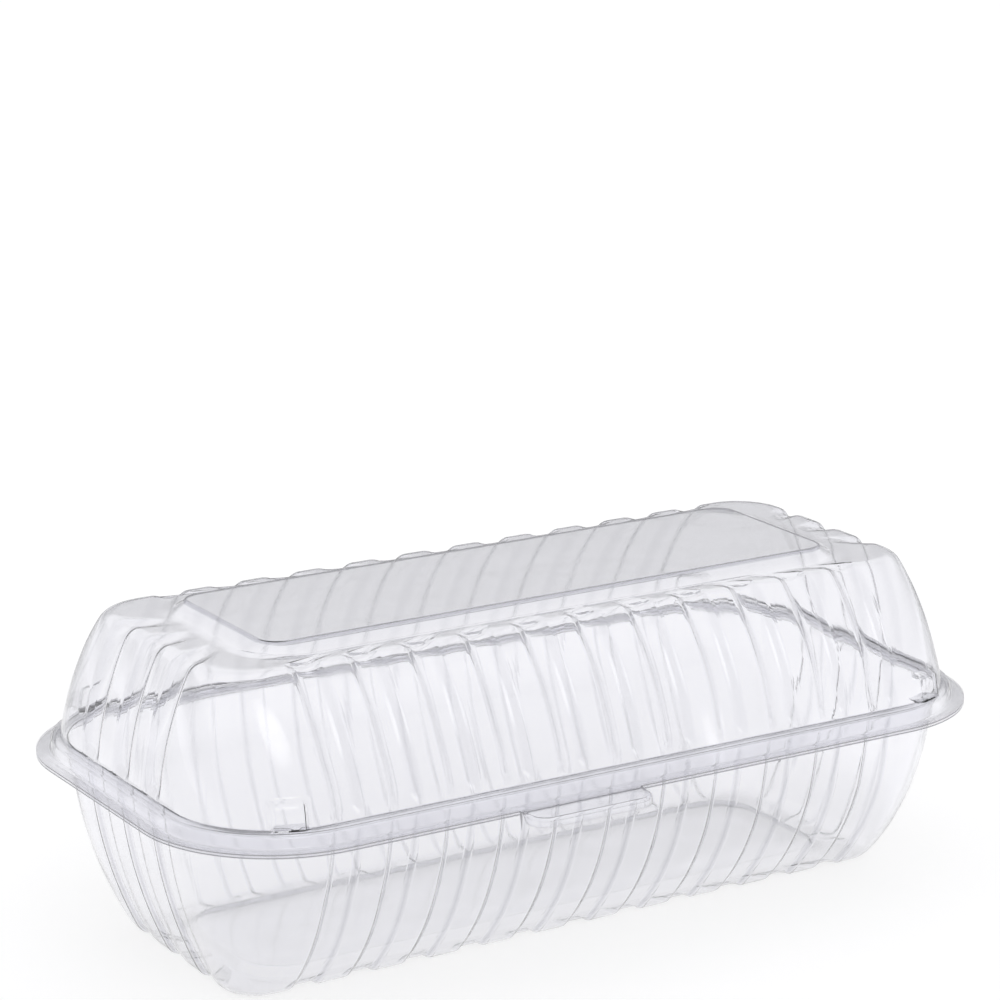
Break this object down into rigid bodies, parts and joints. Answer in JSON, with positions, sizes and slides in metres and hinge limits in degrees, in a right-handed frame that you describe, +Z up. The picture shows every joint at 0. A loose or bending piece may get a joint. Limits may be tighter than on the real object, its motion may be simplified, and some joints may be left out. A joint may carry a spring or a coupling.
{
  "type": "clamshell food pack",
  "caption": "Clear thermoformed hinged pack with fluted walls, a domed lid that nests over the tub's beaded rim, corner lock lugs and a finger tab.",
  "frame": {"origin": "on the surface the pack stands on, under the middle of its whole depth from the tab's edge to the hinge", "axes": "+X along the pack's length, +Y from the front edge with the finger tab to the hinge, +Z up through the lid"},
  "size_m": [0.251, 0.1416, 0.092],
  "materials": {
    "clear_sheet": "clear gloss"
  },
  "bodies": {
    "base": {"base": "clear_sheet"},
    "lid": {"lid": "clear_sheet"}
  },
  "joints": [
    {"name": "lid_hinge", "type": "hinge", "parent": "base", "child": "lid", "pos_m": [0, 0.07018, 0.04955], "axis": [-1, 0, 0], "range_deg": [0, 180]}
  ]
}
